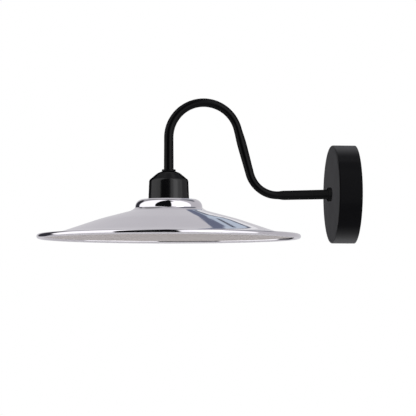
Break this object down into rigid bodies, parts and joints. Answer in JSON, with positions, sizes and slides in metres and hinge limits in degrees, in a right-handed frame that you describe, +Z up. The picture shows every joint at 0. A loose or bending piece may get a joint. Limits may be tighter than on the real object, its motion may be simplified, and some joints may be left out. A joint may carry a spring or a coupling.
{
  "type": "gooseneck wall sconce",
  "caption": "Wall light: round black rose, black tube arm bent up and over in an arch, black lamp holder cap and a shallow chrome disc shade with a rolled rim.",
  "frame": {"origin": "centre of the wall bracket's back face, which lies on the wall, on the axis of the rose", "axes": "+X into the wall, so the arm reaches out along -X; +Z up; Y across the wall"},
  "size_m": [0.3636, 0.3, 0.1649],
  "materials": {
    "painted_black": "matt powder coat",
    "satin_black": "satin powder coat",
    "shade_chrome": "bright plated",
    "bakelite": "moulded, semi gloss",
    "ceramic": "unglazed",
    "plated_steel": "zinc plated",
    "brass": "plain",
    "nickel": "nickel plated",
    "nylon": "moulded, matt",
    "brown_insulation": "extruded",
    "blue_insulation": "extruded",
    "green_insulation": "extruded"
  },
  "bodies": {
    "fixture": {"rose_cover": "painted_black", "wall_bracket": "plated_steel", "rose_grub_screws": "satin_black", "earth_stud": "brass", "earth_washer": "plated_steel", "earth_nut": "brass", "earth_tag": "nickel", "earth_wire": "green_insulation", "terminal_block": "nylon", "terminal_inserts": "brass", "terminal_screws": "plated_steel", "terminal_block_screw": "plated_steel", "arm_tube": "satin_black", "rose_collar": "satin_black", "arm_lock_washer": "plated_steel", "arm_nut": "brass", "wire_bush": "nylon", "cap_collar": "satin_black", "holder_cap": "satin_black", "holder_dome": "bakelite", "dome_grub_screw": "plated_steel", "holder_skirt": "bakelite", "contact_block": "ceramic", "screw_shell": "nickel", "shell_rivets": "brass", "centre_rivet": "brass", "holder_terminals": "brass", "holder_terminal_screws": "plated_steel", "centre_contact_foot": "nickel", "live_wire": "brown_insulation", "neutral_wire": "blue_insulation"},
    "shade": {"shade": "shade_chrome"},
    "ring": {"shade_ring": "bakelite"},
    "contact": {"centre_contact": "nickel"}
  },
  "joints": [
    {"name": "shade_drop", "type": "slide", "parent": "fixture", "child": "shade", "axis": [0, 0, -1], "range_m": [0, 0.01]},
    {"name": "ring_spin", "type": "hinge", "parent": "shade", "child": "ring", "pos_m": [-0.2136, 0, -0.01], "axis": [0, 0, -1], "range_deg": [0, 1440]},
    {"name": "contact_press", "type": "hinge", "parent": "fixture", "child": "contact", "pos_m": [-0.2136, -0.0045, -0.00535], "axis": [1, 0, 0], "range_deg": [0, 12], "stiffness_Nm_per_rad": 0.12}
  ],
  "couplings": [
    {"joint": "ring_spin", "follows": "shade_drop", "rad_per_m": 2513.3}
  ]
}
